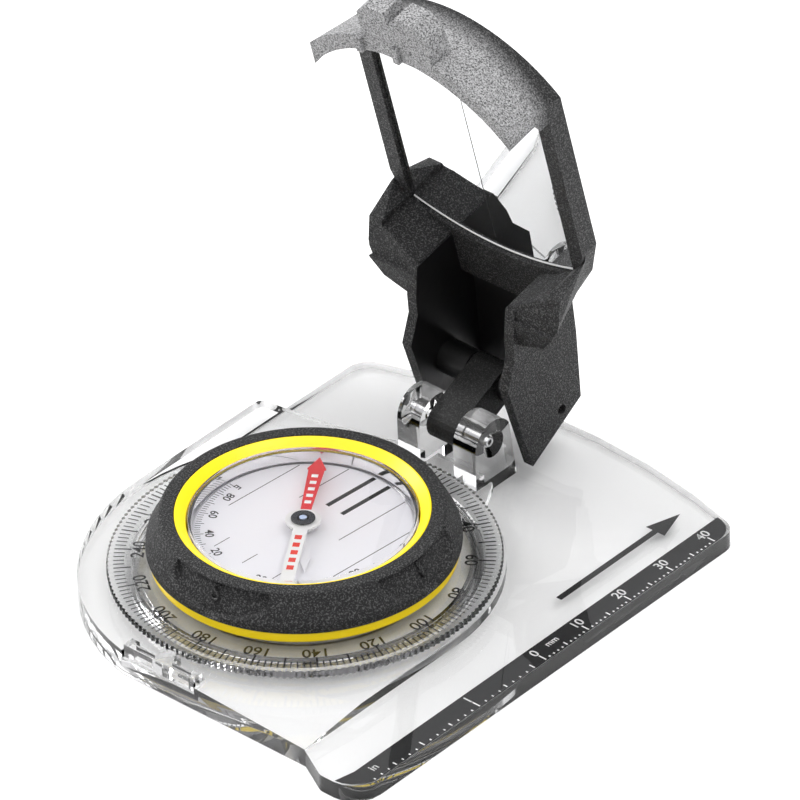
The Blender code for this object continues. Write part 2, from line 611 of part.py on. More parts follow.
def lip(pivot):
    """The wall round the top end, which hugs the bezel when the cover is shut."""
    back = -SHELL_BACK
    profile = [(LIP_IN_R, LIP_FRONT), (LIP_OUT_R, LIP_FRONT), (LIP_BACK_R, back), (MIRROR_TOP_R - 0.6, back),
               (MIRROR_TOP_R - 0.6, -FRAME_FACE), (LIP_IN_R, 3.0 - FRAME_FACE)]
    made = piece("cut_lip", turned(profile, 26, (0, DIAL_L), 34, 112), None, pivot)
    wide = COVER_HALF_W
    width = [(-wide, DIAL_L), (wide, DIAL_L), (wide, SIGHT_TOP + 9), (-wide, SIGHT_TOP + 9)]
    keep = prism(width, -2 * SHELL_BACK, 2 * SHELL_BACK)
    return combine(made, piece("cut_lip_ends", keep, None, pivot), "INTERSECT")


def cover_parts(black, mirror_glass, foam, steel, pivot):
    """The cover shell, its pin, the mirror and the pad behind it, all on the upper pivot.

    The shell's parts share planes, which leaves gaps with the EXACT solver, so it takes MANIFOLD.
    """
    back = -SHELL_BACK
    shell = piece("cover_shell", prism(cover_outline(13.0), back, back + BACK_T), black, pivot)
    frame = piece("cut_frame", prism(cover_outline(13.0), back + BACK_T / 2, -FRAME_FACE), None, pivot)
    combine(shell, frame, "UNION", "MANIFOLD")
    combine(shell, lip(pivot), "UNION", "MANIFOLD")
    hug = piece("cut_hug", cylinder(CHEEK_R, -FRAME_FACE - 0.6, 2 * SHELL_BACK, 96, (0, DIAL_L)), None, pivot)
    low = MIRROR_LOW
    foot = -FRAME_FACE - 0.6
    shoulder = [(low + 3.4, foot), (low + 0.6, -0.4), (19.6, 1.7), (19.4, 6.0), (low + 15, 6.0),
                (low + 15, foot)]
    slope = piece("cut_shoulder", prism(shoulder, -2 * COVER_HALF_W, 2 * COVER_HALF_W, "X"), None, pivot)
    for side, name in ((1, "right"), (-1, "left")):
        block = piece("cut_cheek_" + name, cheek(side), None, pivot)
        combine(block, hug, "DIFFERENCE")
        combine(block, slope, "DIFFERENCE")
        combine(shell, block, "UNION", "MANIFOLD")
        combine(shell, piece("cut_side_" + name, side_plate(side), None, pivot), "UNION", "MANIFOLD")
        ends = sorted((side * LUG_IN, side * (PLATE_IN + 0.5)))
        boss = prism(arc((0, 0), BOSS_R, 0, 345, 23), ends[0], ends[1], "X")
        combine(shell, piece("cut_boss_" + name, boss, None, pivot), "UNION", "MANIFOLD")
    combine(shell, piece("cut_web", back_web(), None, pivot), "UNION", "MANIFOLD")
    cord_hole = rod(CORD_HOLE_R, 2 * PLATE_OUT + 4, 5.1 - SIDE_TAIL, -2.9, 16)
    combine(shell, piece("cut_cord_hole", cord_hole, None, pivot), "DIFFERENCE", "MANIFOLD")
    pin_half = PLATE_IN - 1.2
    seat = rod(PIN_R + PIN_PLAY, 2 * (pin_half + GAP), steps=16)
    combine(shell, piece("cut_pin_seat", seat, None, pivot), "DIFFERENCE", "MANIFOLD")
    combine(shell, piece("cut_sight", sight_block(), None, pivot), "UNION", "MANIFOLD")
    for at, name in ((0.0, "cut_rib_middle"), (-SIGHT_HALF_W - 0.7, "cut_rib_left")):
        near = max(abs(at) - RIB_W / 2, 0.0)
        reach = DIAL_L + math.sqrt((LIP_IN_R - 0.1) ** 2 - near ** 2)
        left, right = at - RIB_W / 2, at + RIB_W / 2
        rib = [(left, reach), (right, reach), (right, reach + 3), (left, reach + 3)]
        combine(shell, piece(name, prism(rib, -1.0, LIP_FRONT + 0.8), None, pivot), "UNION", "MANIFOLD")
    pocket = prism(mirror_outline(GAP), back + BACK_T, 0)
    combine(shell, piece("cut_pocket", pocket, None, pivot), "DIFFERENCE", "MANIFOLD")
    piece("mirror", prism(mirror_outline(), -MIRROR_FACE - MIRROR_T, -MIRROR_FACE), mirror_glass, pivot)
    pad_z = back + BACK_T + GAP
    piece("mirror_pad", prism(mirror_outline(-1.0), pad_z, pad_z + PAD_T), foam, pivot)
    piece("cover_pin", rod(PIN_R, 2 * pin_half, steps=16), steel, pivot)


def build():
    clear_scene()
    clear = material("clear_acrylic", (0.95, 0.96, 0.96), 0.05, 0.0, 1.0)
    yellow = material("yellow_plastic", (0.95, 0.78, 0.02), 0.4)
    rubber = material("black_rubber", (0.03, 0.03, 0.03), 0.8)
    black = material("black_plastic", (0.025, 0.025, 0.027), 0.6)
    steel = material("steel", (0.62, 0.62, 0.63), 0.3, 1.0)
    silver = material("mirror_silver", (0.9, 0.92, 0.93), 0.03, 1.0)
    felt = material("white_felt", (0.85, 0.85, 0.84), 0.9)
    foam = material("white_foam", (0.8, 0.8, 0.78), 0.9)
    film = material("printed_film", (0.93, 0.93, 0.95), 0.4)
    paint = material("needle_paint", (0.85, 0.08, 0.06), 0.4)
    jewel = material("blue_jewel", (0.35, 0.55, 0.8), 0.1)
    base_plate(clear)
    bezel_catch(clear)
    azimuth_ring(clear)
    bezel_parts(yellow, rubber, clear, felt)
    capsule_parts(clear, rubber, film, steel)
    needle_parts(paint, black, jewel, steel, film)
    pivot = hinge_parts(steel, black)
    cover_parts(black, silver, foam, steel, pivot)
    bpy.context.view_layer.update()


build()
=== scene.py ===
"""Looks of the mirror sighting compass: finishes, printed scales and the fine surfaces of the bezel.

Every size here is in millimetres and is turned into metres when a mesh is made. The frame is that of the
model: origin under the middle of the dial, +X to the ruler edge, +Y along the direction of travel, +Z up.
"""

import math

import bmesh
import bpy
import numpy as np
from mathutils import Matrix, Vector


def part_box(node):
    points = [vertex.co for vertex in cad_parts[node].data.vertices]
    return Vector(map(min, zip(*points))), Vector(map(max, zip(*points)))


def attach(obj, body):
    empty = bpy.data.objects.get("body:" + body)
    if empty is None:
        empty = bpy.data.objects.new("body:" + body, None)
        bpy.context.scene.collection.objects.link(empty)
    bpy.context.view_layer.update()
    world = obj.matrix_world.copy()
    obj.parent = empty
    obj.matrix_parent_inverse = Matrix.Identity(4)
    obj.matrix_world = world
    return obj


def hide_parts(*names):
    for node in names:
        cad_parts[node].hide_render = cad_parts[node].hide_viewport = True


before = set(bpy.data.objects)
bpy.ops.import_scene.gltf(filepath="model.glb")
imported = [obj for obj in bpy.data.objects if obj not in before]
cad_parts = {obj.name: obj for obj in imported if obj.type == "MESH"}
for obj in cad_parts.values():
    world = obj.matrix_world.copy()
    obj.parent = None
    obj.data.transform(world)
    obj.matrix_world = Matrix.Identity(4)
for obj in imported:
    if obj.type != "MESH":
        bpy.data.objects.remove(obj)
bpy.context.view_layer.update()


MM = 0.001
SKIN = 0.03             # depth of a print under a clear surface, or its height over a solid one
INK = 0.012             # thickness of a print
CAPITAL = 0.7           # height of a capital letter of size 1


def corners(node):
    """Lowest and highest corner of a node, in millimetres."""
    low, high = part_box(node)
    return np.array(low) / MM, np.array(high) / MM


PLATE_EDGE = corners("base_plate")[1][0]
RING_LOW, RING_HIGH = corners("azimuth_ring")
CORE_LOW, CORE_HIGH = corners("bezel_core")
GRIP_LOW, GRIP_HIGH = corners("bezel_grip")
CUP_R = corners("capsule_cup")[1][0]
LID_LOW, LID_HIGH = corners("capsule_lid")
DISC_LOW, DISC_HIGH = corners("meridian_disc")
BLADE_TOP = corners("needle_blade")[1][2]
CAP_LOW, CAP_HIGH = corners("needle_cap")
PIN_LOW, PIN_HIGH = corners("hinge_pin")
TICK_Z = RING_HIGH[2]
PLATE_Z = 3.0           # top of the thin part of the base plate
SMOOTH_ANGLE = 35.0     # faces that meet at less are shaded as one
EDGE_ANGLE = 28.0       # edges sharper than this are rounded on the plate and the cover
NEEDLE_BEARING = -33.0
HUB_R = 2.6             # the needle is white up to here
RING_TURN = -5.8        # bearing of the degree ring's zero
DIAL_TURN = 5.0         # bearing of the orienting lines
RIM_TEETH = 180
FACET_HALF = 23.0       # half-width of a thumb facet, in degrees
FACET_DEPTH = 1.0
FACET_STEP = 0.35       # width of the step round a facet
GRIP_FOOT = 1.5         # height of the grip's upright foot
CUP_WALL = 0.6
PIVOT = np.array([0.0, 44.501, 15.748])     # axis of the upper pin
COVER_TILT = math.radians(103.6)
SHEEN_FOOT = 70.5         # height above which the cover's lip gets a painted sheen, a painted highlight of the lit black plastic
MIRROR_HALF_W = 16.7
MIRROR_LOW = 25.02      # foot of the mirror's sides, from the pivot along the cover
MIRROR_DIP = 2.9        # how far the arched lower edge hangs below that
MIRROR_FACE = -7.79     # face of the mirror, out from the pivot
COVER_ALONG = np.array([0.0, math.cos(COVER_TILT), math.sin(COVER_TILT)])
COVER_OUT = np.array([0.0, -math.sin(COVER_TILT), math.cos(COVER_TILT)])


# ---------------------------------------------------------------- meshes

def surface(name, points, faces, body, material):
    """A mesh piece from points in millimetres, shaded smooth, riding on a body."""
    mesh = bpy.data.meshes.new(name)
    mesh.from_pydata((np.asarray(points, float) * MM).tolist(), [], [list(map(int, f)) for f in faces])
    mesh.validate()
    mesh.shade_smooth()
    mesh.set_sharp_from_angle(angle=math.radians(SMOOTH_ANGLE))
    mesh.materials.append(material)
    made = bpy.data.objects.new(name, mesh)
    bpy.context.scene.collection.objects.link(made)
    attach(made, body)
    return made


def ring_faces(rows, columns, first=0):
    """Quads of a grid of rows round a closed ring of columns, with the last row joined to the first."""
    r, c = np.meshgrid(np.arange(rows), np.arange(columns), indexing="ij")
    nr, nc = (r + 1) % rows, (c + 1) % columns
    quads = np.stack([r * columns + c, nr * columns + c, nr * columns + nc, r * columns + nc], -1)
    return quads.reshape(-1, 4) + first


def lathe(profile, columns, shape=None):
    """Points of a closed (radius, height) profile carried round the upright axis.

    Column k stands at angle 2 pi k / columns. The profile runs down the outer side first, and shape may
    return a change of radius for the arrays of angle, radius and height.
    """
    profile = np.asarray(profile, float)
    turn = np.linspace(0, 2 * np.pi, columns, endpoint=False)[None, :]
    radius = np.repeat(profile[:, :1], columns, 1)
    height = np.repeat(profile[:, 1:], columns, 1)
    if shape is not None:
        radius = radius + shape(turn, radius, height)
    points = np.stack([radius * np.cos(turn), radius * np.sin(turn), height], -1)
    return points.reshape(-1, 3), ring_faces(len(profile), columns)


def curve_corner(before, corner, after, radius, steps=5):
    """Rounds a corner of a profile with a parabola between two points at the given distance from it."""
    before, corner, after = (np.asarray(p, float) for p in (before, corner, after))
    start = corner + (before - corner) / np.linalg.norm(before - corner) * radius
    end = corner + (after - corner) / np.linalg.norm(after - corner) * radius
    t = np.linspace(0, 1, steps + 1)[:, None]
    return (1 - t) ** 2 * start + 2 * t * (1 - t) * corner + t ** 2 * end


def soft_profile(points):
    """A closed profile whose corners (radius, height, rounding) are rounded where the rounding isn't 0."""
    made = []
    count = len(points)
    for i, (r, z, rounding) in enumerate(points):
        if rounding == 0:
            made.append([(r, z)])
        else:
            made.append(curve_corner(points[i - 1][:2], (r, z), points[(i + 1) % count][:2], rounding))
    return np.concatenate([np.asarray(m, float) for m in made])


def turned_piece(name, points, body, material, replaced, columns=256, shape=None):
    """A turned piece that takes the place of a plain node."""
    spots, faces = lathe(soft_profile(points), columns, shape)
    made = surface(name, spots, faces, body, material)
    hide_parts(replaced)
    return made


def slabs(outlines, low, high):
    """Points and faces of thin plates, one for each closed outline of (x, y), from low to high."""
    points, faces, first = [], [], 0
    for outline in outlines:
        outline = np.asarray(outline, float)
        n = len(outline)
        for z in (low, high):
            points.append(np.column_stack([outline, np.full(n, z)]))
        faces.append([first + n + i for i in range(n)])
        faces.append([first + i for i in reversed(range(n))])
        for i in range(n):
            after = (i + 1) % n
            faces.append([first + i, first + after, first + n + after, first + n + i])
        first += 2 * n
    return np.concatenate(points), faces


def bar(x, y, width, length, turn=0.0):
    """A rectangle centred on (x, y), its length along a bearing clockwise from +Y."""
    a = math.radians(turn)
    along, across = np.array([math.sin(a), math.cos(a)]), np.array([math.cos(a), -math.sin(a)])
    middle = np.array([x, y])
    signs = ((-1, -1), (1, -1), (1, 1), (-1, 1))
    return [middle + across * (sx * width / 2) + along * (sy * length / 2) for sx, sy in signs]


def at(bearing, radius):
    """The point at a compass bearing and a distance from the middle of the dial."""
    a = math.radians(bearing)
    return np.array([math.sin(a), math.cos(a)]) * radius


def ray_bar(bearing, inner, outer, width):
    """A tick from an inner to an outer radius."""
    x, y = at(bearing, (inner + outer) / 2)
    return bar(x, y, width, outer - inner, bearing)


def letters(name, items, low, body, material, place=None, depth=INK):
    """Characters as thin closed solids. Each item is (text, x, y, height, bearing of its top).

    The solids stand from low up by depth, and place may carry the points somewhere else.
    """
    points, faces, first = [], [], 0
    for text, x, y, height, top in items:
        curve = bpy.data.curves.new(name, "FONT")
        curve.body = text
        curve.align_x = "CENTER"
        curve.align_y = "CENTER"
        curve.size = 1.0
        curve.extrude = 0.5
        curve.resolution_u = 6
        curve.offset = 0.014
        holder = bpy.data.objects.new(name, curve)
        bpy.context.scene.collection.objects.link(holder)
        bpy.context.view_layer.update()
        mesh = bpy.data.meshes.new_from_object(holder)
        spots = np.zeros(len(mesh.vertices) * 3)
        mesh.vertices.foreach_get("co", spots)
        spots = spots.reshape(-1, 3)
        spots[:, :2] *= height / CAPITAL
        spots[:, 2] = low + (spots[:, 2] + 0.5) * depth
        a = -math.radians(top)
        turn = np.array([[math.cos(a), -math.sin(a)], [math.sin(a), math.cos(a)]])
        spots[:, :2] = spots[:, :2] @ turn.T + np.array([x, y])
        points.append(spots)
        faces += [[first + v for v in p.vertices] for p in mesh.polygons]
        first += len(spots)
        bpy.data.objects.remove(holder, do_unlink=True)
        bpy.data.curves.remove(curve)
        bpy.data.meshes.remove(mesh)
    spots = np.concatenate(points)
    if place is not None:
        spots = place(spots)
    made = surface(name, spots, faces, body, material)
    step = made.modifiers.new("weld", "WELD")
    step.merge_threshold = 1e-7
    return made


def on_cover(points):
    """Takes points from the cover's own axes (across, along, out of the mirror) to the frame."""
    points = np.asarray(points, float)
    across = points[:, :1] * np.array([1.0, 0.0, 0.0])
    return PIVOT + across + points[:, 1:2] * COVER_ALONG + points[:, 2:3] * COVER_OUT


# ---------------------------------------------------------------- finishes

def nodes_of(name):
    """A new material, its node tree and its Principled shader."""
    made = bpy.data.materials.new(name)
    made.use_nodes = True
    return made, made.node_tree, made.node_tree.nodes["Principled BSDF"]


def grain_group():
    """Moulded grain: fine pits with pale specks, as a colour, a roughness and a height."""
    group = bpy.data.node_groups.new("moulded_grain", "ShaderNodeTree")
    face = group.interface
    for name, kind in (("Colour", "NodeSocketColor"), ("Speck colour", "NodeSocketColor"),
                       ("Scale", "NodeSocketFloat"), ("Specks", "NodeSocketFloat"),
                       ("Roughness", "NodeSocketFloat")):
        face.new_socket(name=name, in_out="INPUT", socket_type=kind)
    for name, kind in (("Colour", "NodeSocketColor"), ("Roughness", "NodeSocketFloat"),
                       ("Height", "NodeSocketFloat")):
        face.new_socket(name=name, in_out="OUTPUT", socket_type=kind)
    tree, links = group.nodes, group.links
    enter, leave = tree.new("NodeGroupInput"), tree.new("NodeGroupOutput")
    place = tree.new("ShaderNodeTexCoord")
    fine = tree.new("ShaderNodeTexNoise")
    fine.inputs["Detail"].default_value = 3.0
    fine.inputs["Roughness"].default_value = 0.65
    broad = tree.new("ShaderNodeTexNoise")
    broad.inputs["Scale"].default_value = 180.0
    broad.inputs["Detail"].default_value = 2.0
    links.new(place.outputs["Object"], fine.inputs["Vector"])
    links.new(place.outputs["Object"], broad.inputs["Vector"])
    links.new(enter.outputs["Scale"], fine.inputs["Scale"])
    pick = tree.new("ShaderNodeMapRange")
    pick.inputs["From Min"].default_value = 0.5
    pick.inputs["From Max"].default_value = 0.66
    links.new(fine.outputs["Fac"], pick.inputs["Value"])
    share = tree.new("ShaderNodeMath")
    share.operation = "MULTIPLY"
    links.new(pick.outputs["Result"], share.inputs[0])
    links.new(enter.outputs["Specks"], share.inputs[1])
    shade = tree.new("ShaderNodeMapRange")
    shade.inputs["To Min"].default_value = 0.78
    shade.inputs["To Max"].default_value = 1.2
    links.new(broad.outputs["Fac"], shade.inputs["Value"])
    tint = tree.new("ShaderNodeVectorMath")
    tint.operation = "SCALE"
    links.new(enter.outputs["Colour"], tint.inputs[0])
    links.new(shade.outputs["Result"], tint.inputs["Scale"])
    mix = tree.new("ShaderNodeMix")
    mix.data_type = "RGBA"
    links.new(share.outputs["Value"], mix.inputs["Factor"])
    links.new(tint.outputs["Vector"], mix.inputs["A"])
    links.new(enter.outputs["Speck colour"], mix.inputs["B"])
    rough = tree.new("ShaderNodeMath")
    rough.operation = "MULTIPLY_ADD"
    rough.inputs[1].default_value = -0.25
    links.new(share.outputs["Value"], rough.inputs[0])
    links.new(enter.outputs["Roughness"], rough.inputs[2])
    links.new(mix.outputs["Result"], leave.inputs["Colour"])
    links.new(rough.outputs["Value"], leave.inputs["Roughness"])
    links.new(fine.outputs["Fac"], leave.inputs["Height"])
    return group


def wave_group():
    """Faint waviness of a moulded or cast surface, as a height."""
    group = bpy.data.node_groups.new("faint_wave", "ShaderNodeTree")
    group.interface.new_socket(name="Scale", in_out="INPUT", socket_type="NodeSocketFloat")
    group.interface.new_socket(name="Height", in_out="OUTPUT", socket_type="NodeSocketFloat")
    tree, links = group.nodes, group.links
    enter, leave = tree.new("NodeGroupInput"), tree.new("NodeGroupOutput")
    place, noise = tree.new("ShaderNodeTexCoord"), tree.new("ShaderNodeTexNoise")
    noise.inputs["Detail"].default_value = 1.0
    links.new(place.outputs["Object"], noise.inputs["Vector"])
    links.new(enter.outputs["Scale"], noise.inputs["Scale"])
    links.new(noise.outputs["Fac"], leave.inputs["Height"])
    return group


def grained(name, colour, speck, scale, specks, roughness, depth):
    """A grained plastic, rubber, felt or foam, its grain a depth in millimetres."""
    made, tree, shader = nodes_of(name)
    grain = tree.nodes.new("ShaderNodeGroup")
    grain.node_tree = GRAIN
    grain.inputs["Colour"].default_value = (*colour, 1)
    grain.inputs["Speck colour"].default_value = (*speck, 1)
    grain.inputs["Scale"].default_value = scale
    grain.inputs["Specks"].default_value = specks
    grain.inputs["Roughness"].default_value = roughness
    bump = tree.nodes.new("ShaderNodeBump")
    bump.inputs["Strength"].default_value = 1.0
    bump.inputs["Distance"].default_value = depth * MM
    tree.links.new(grain.outputs["Colour"], shader.inputs["Base Color"])
    tree.links.new(grain.outputs["Roughness"], shader.inputs["Roughness"])
    tree.links.new(grain.outputs["Height"], bump.inputs["Height"])
    tree.links.new(bump.outputs["Normal"], shader.inputs["Normal"])
    shader.inputs["Specular IOR Level"].default_value = 0.3
    return made


def ramp(tree, source, start, end):
    """The result of a node that rises from 0 to 1 as a value goes from start to end."""
    made = tree.nodes.new("ShaderNodeMapRange")
    made.inputs["From Min"].default_value = start
    made.inputs["From Max"].default_value = end
    tree.links.new(source, made.inputs["Value"])
    return made.outputs["Result"]


def product(tree, one, other):
    """The product of two values of a node tree."""
    made = tree.nodes.new("ShaderNodeMath")
    made.operation = "MULTIPLY"
    tree.links.new(one, made.inputs[0])
    tree.links.new(other, made.inputs[1])
    return made.outputs["Value"]


def rubbed(name, colour, speck, scale, specks, roughness, depth):
    """Grained plastic whose lip carries a painted highlight: the specks grow into a silvery sheen up and to
    the front, painted where the lit lip shines.
    """
    made = grained(name, colour, speck, scale, specks, roughness, depth)
    tree = made.node_tree
    shader = tree.nodes["Principled BSDF"]
    grain = next(n for n in tree.nodes if n.type == "GROUP")
    place = tree.nodes.new("ShaderNodeTexCoord")
    split = tree.nodes.new("ShaderNodeSeparateXYZ")
    tree.links.new(place.outputs["Object"], split.inputs["Vector"])
    # painted highlight: the lip's top and front are mixed in random blotches towards a pale grey, standing
    # in for the sheen that light puts on the black plastic
    high = ramp(tree, split.outputs["Z"], SHEEN_FOOT * MM, (SHEEN_FOOT + 6.0) * MM)
    front = ramp(tree, split.outputs["Y"], 37.5 * MM, 33.0 * MM)
    sheen_blotch = ramp(tree, grain.outputs["Height"], 0.34, 0.6)
    share = product(tree, product(tree, high, front), sheen_blotch)
    mix = tree.nodes.new("ShaderNodeMix")
    mix.data_type = "RGBA"
    mix.inputs["B"].default_value = (0.4, 0.4, 0.405, 1)
    tree.links.new(share, mix.inputs["Factor"])
    tree.links.new(grain.outputs["Colour"], mix.inputs["A"])
    tree.links.new(mix.outputs["Result"], shader.inputs["Base Color"])
    return made


def smooth(name, colour, roughness, metallic=0.0, clear=0.0, ior=1.45, wave=0.0, wave_scale=120.0):
    """A smooth finish, with a waviness of the surface in millimetres where wave isn't 0."""
    made, tree, shader = nodes_of(name)
    shader.inputs["Base Color"].default_value = (*colour, 1)
    shader.inputs["Roughness"].default_value = roughness
    shader.inputs["Metallic"].default_value = metallic
    shader.inputs["Transmission Weight"].default_value = clear
    shader.inputs["IOR"].default_value = ior
    if wave:
        ripple = tree.nodes.new("ShaderNodeGroup")
        ripple.node_tree = WAVE
        ripple.inputs["Scale"].default_value = wave_scale
        bump = tree.nodes.new("ShaderNodeBump")
        bump.inputs["Distance"].default_value = wave * MM
        tree.links.new(ripple.outputs["Height"], bump.inputs["Height"])
        tree.links.new(bump.outputs["Normal"], shader.inputs["Normal"])
    return made


def needle_finish():
    """Red north of the needle's hub and white to its south."""
    made, tree, shader = nodes_of("needle_enamel")
    place = tree.nodes.new("ShaderNodeTexCoord")
    turn = tree.nodes.new("ShaderNodeMapping")
    turn.inputs["Rotation"].default_value = (0, 0, math.radians(NEEDLE_BEARING))
    split = tree.nodes.new("ShaderNodeSeparateXYZ")
    north = tree.nodes.new("ShaderNodeMath")
    north.operation = "GREATER_THAN"
    north.inputs[1].default_value = HUB_R * MM
    mix = tree.nodes.new("ShaderNodeMix")
    mix.data_type = "RGBA"
    mix.inputs["A"].default_value = (0.86, 0.86, 0.86, 1)
    mix.inputs["B"].default_value = (0.75, 0.012, 0.02, 1)
    tree.links.new(place.outputs["Object"], turn.inputs["Vector"])
    tree.links.new(turn.outputs["Vector"], split.inputs["Vector"])
    tree.links.new(split.outputs["Y"], north.inputs[0])
    tree.links.new(north.outputs["Value"], mix.inputs["Factor"])
    tree.links.new(mix.outputs["Result"], shader.inputs["Base Color"])
    shader.inputs["Roughness"].default_value = 0.35
    return made


GRAIN = grain_group()
WAVE = wave_group()
CLEAR = (1.0, 1.0, 1.0)
SPECK = (0.1, 0.1, 0.1)
FINISH = {
    "acrylic": smooth("clear_acrylic", CLEAR, 0.01, clear=1, ior=1.49, wave=0.012),
    "liquid": smooth("clear_capsule", (0.995, 0.995, 1.0), 0.0, clear=1, ior=1.42),
    "yellow": smooth("yellow_plastic", (1.0, 0.74, 0.004), 0.38, wave=0.01, wave_scale=900.0),
    "rubber": grained("grip_rubber", (0.008, 0.008, 0.0085), SPECK, 3600.0, 0.85, 0.7, 0.16),
    "cover": rubbed("cover_plastic", (0.005, 0.005, 0.0055), SPECK, 3800.0, 0.85, 0.6, 0.16),
    "link": grained("link_plastic", (0.006, 0.006, 0.006), (0.05, 0.05, 0.05), 4600.0, 0.7, 0.6, 0.06),
    "steel": smooth("bright_steel", (0.66, 0.66, 0.67), 0.22, metallic=1, wave=0.004, wave_scale=2000.0),
    "mirror": smooth("silvered_mirror", (0.95, 0.955, 0.96), 0.0, metallic=1),
    "film": smooth("dial_film", (0.9, 0.895, 0.94), 0.5, wave=0.02, wave_scale=200.0),
    "black_ink": smooth("black_print", (0.012, 0.012, 0.013), 0.5, wave=0.002, wave_scale=3000.0),
    "white_ink": smooth("white_print", (0.92, 0.92, 0.92), 0.5, wave=0.002, wave_scale=3000.0),
    "red_ink": smooth("red_print", (0.8, 0.03, 0.01), 0.5, wave=0.002, wave_scale=3000.0),
    # painted shade for the cover's recess: a darker black without specks
    "inner_black_painted_shade": smooth("inner_black_painted_shade", (0.004, 0.004, 0.0042), 0.45, wave=0.02, wave_scale=900.0),
    "black_gloss": smooth("black_cap", (0.012, 0.014, 0.02), 0.25, wave=0.004, wave_scale=1500.0),
    "jewel": smooth("blue_jewel", (0.45, 0.55, 0.75), 0.1, wave=0.002, wave_scale=1500.0),
    "felt": grained("drag_felt", (0.85, 0.85, 0.84), (0.95, 0.95, 0.95), 4000.0, 0.8, 0.95, 0.05),
    "foam": grained("pad_foam", (0.7, 0.7, 0.68), (0.9, 0.9, 0.9), 3000.0, 0.4, 0.9, 0.05),
    "needle": needle_finish(),
}
NODE_FINISH = {
    "bezel_catch": "acrylic", "bezel_retainer": "acrylic", "fill_plug": "acrylic", "drag_ring": "felt",
    "capsule_seal": "rubber", "hinge_link": "link", "cover_pin": "steel", "pivot_post": "steel",
    "needle_magnet": "steel", "mirror": "mirror", "mirror_pad": "foam", "clinometer_pointer": "film",
    "needle_blade": "needle", "needle_jewel": "jewel", "capsule_cup": "film",
}


def paint_nodes():
    """Gives the nodes that stay their finish."""
    for name, finish in NODE_FINISH.items():
        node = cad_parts[name]
        node.data.materials.clear()
        node.data.materials.append(FINISH[finish])


def edged_copy(name, node, body, material, width):
    """A copy of a node with its loose triangles merged and its edges rounded by a small bevel."""
    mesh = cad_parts[node].data.copy()
    mesh.name = name
    made = bpy.data.objects.new(name, mesh)
    bpy.context.scene.collection.objects.link(made)
    bm = bmesh.new()
    bm.from_mesh(mesh)
    bmesh.ops.remove_doubles(bm, verts=bm.verts, dist=2e-6)
    bmesh.ops.dissolve_limit(bm, angle_limit=math.radians(0.6), verts=bm.verts, edges=bm.edges)
    bm.to_mesh(mesh)
    bm.free()
    mesh.shade_smooth()
    mesh.set_sharp_from_angle(angle=math.radians(EDGE_ANGLE))
    mesh.materials.clear()
    mesh.materials.append(material)
    step = made.modifiers.new("soft_edges", "BEVEL")
    step.width = width * MM
    step.segments = 2
    step.limit_method = "ANGLE"
    step.angle_limit = math.radians(EDGE_ANGLE)
    step.miter_outer = "MITER_ARC"
    step.use_clamp_overlap = True
    step.harden_normals = True
    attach(made, body)
    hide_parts(node)
    return made


# ---------------------------------------------------------------- bezel and capsule

def facet_depth(turn, radius, height):
    """How far the four thumb facets sink into the grip, at an angle and a height.

    A facet is a rounded patch centred on each quarter of the ring: its half-width narrows towards the
    foot as a quarter circle, and its edge is a step a few tenths of a millimetre wide.
    """
    low, high = GRIP_LOW[2], GRIP_HIGH[2]
    level = (height - low) / (high - low)
    offset = np.radians(RING_TURN)
    local = (turn + offset + np.pi / 4) % (np.pi / 2) - np.pi / 4
    reach = np.clip((level - 0.16) / 0.62, 0, 1)
    half = np.radians(FACET_HALF) * np.sqrt(np.clip(1 - (1 - reach) ** 2, 0, 1))
    edge = np.clip((half - np.abs(local)) * radius / FACET_STEP, 0, 1)
    edge = edge * edge * (3 - 2 * edge)
    outside = radius > 21.4
    top = np.clip((0.985 - level) / 0.05, 0, 1)
    return -FACET_DEPTH * edge * outside * top


def grip():
    """Rubber grip: upright foot, cone and thin rim, with the thumb facets sunk into the cone.

    The cone is a straight line of the profile cut into short steps, so that the facets have points to move.
    """
    low, high = GRIP_LOW[2], GRIP_HIGH[2]
    out, top, bore = GRIP_HIGH[0], 22.2, 19.95
    rim = high + 0.3
    foot = soft_profile([(out - 0.1, low + GRIP_FOOT, 0.5), (out, low, 0.25), (bore, low, 0.0),
                         (bore, rim, 0.2), (top, rim, 0.35)])
    start, end = foot[-1], foot[0]
    t = np.linspace(0, 1, 42)[1:-1, None]
    cone = start * (1 - t) + end * t
    spots, faces = lathe(np.concatenate([foot, cone]), 720, facet_depth)
    made = surface("grip_shell", spots, faces, "bezel", FINISH["rubber"])
    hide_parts("bezel_grip")


def bezel():
    """Yellow core with its pale inside, degree ring, scale, grip and quarter letters."""
    rim, wall, bore = CORE_HIGH[0], 20.3, 18.15
    low, high = CORE_LOW[2], CORE_HIGH[2]
    core = [(19.9, high, 0.1), (19.9, 8.3, 0.1), (rim - 0.3, 8.3, 0.2), (rim - 0.3, TICK_Z + 0.7, 0.3),
            (wall, TICK_Z + 0.7, 0.0), (wall, low, 0.15), (16.4, low, 0.15), (16.4, 4.3, 0.1),
            (bore, 4.3, 0.1), (bore, high - 1.15, 0.1), (19.7, high, 0.1)]
    shell = turned_piece("core_shell", core, "bezel", FINISH["yellow"], "bezel_core")
    shell.data.materials.append(FINISH["film"])
    for face in shell.data.polygons:
        if face.center.z < (TICK_Z + 0.6) * MM:
            face.material_index = 1

    def rim_teeth(turn, radius, height):
        """Small rounded teeth round the rim: a cosine of the angle, on the flange only."""
        return 0.14 * (np.cos(turn * RIM_TEETH) - 1) * (radius > 30.0)

    ring = [(30.8, TICK_Z, 0.12), (30.8, TICK_Z - 1.2, 0.12), (26.6, TICK_Z - 1.2, 0.1), (26.6, 3.9, 0.0),
            (25.7, 3.9, 0.0), (25.7, 2.7, 0.0), (26.6, 2.7, 0.0), (26.6, RING_LOW[2], 0.1),
            (20.6, RING_LOW[2], 0.1), (20.6, TICK_Z, 0.1)]
    turned_piece("degree_ring", ring, "bezel", FINISH["acrylic"], "azimuth_ring",
                 1440, rim_teeth)
    degree_scale()
    grip()
    quarter_letters()


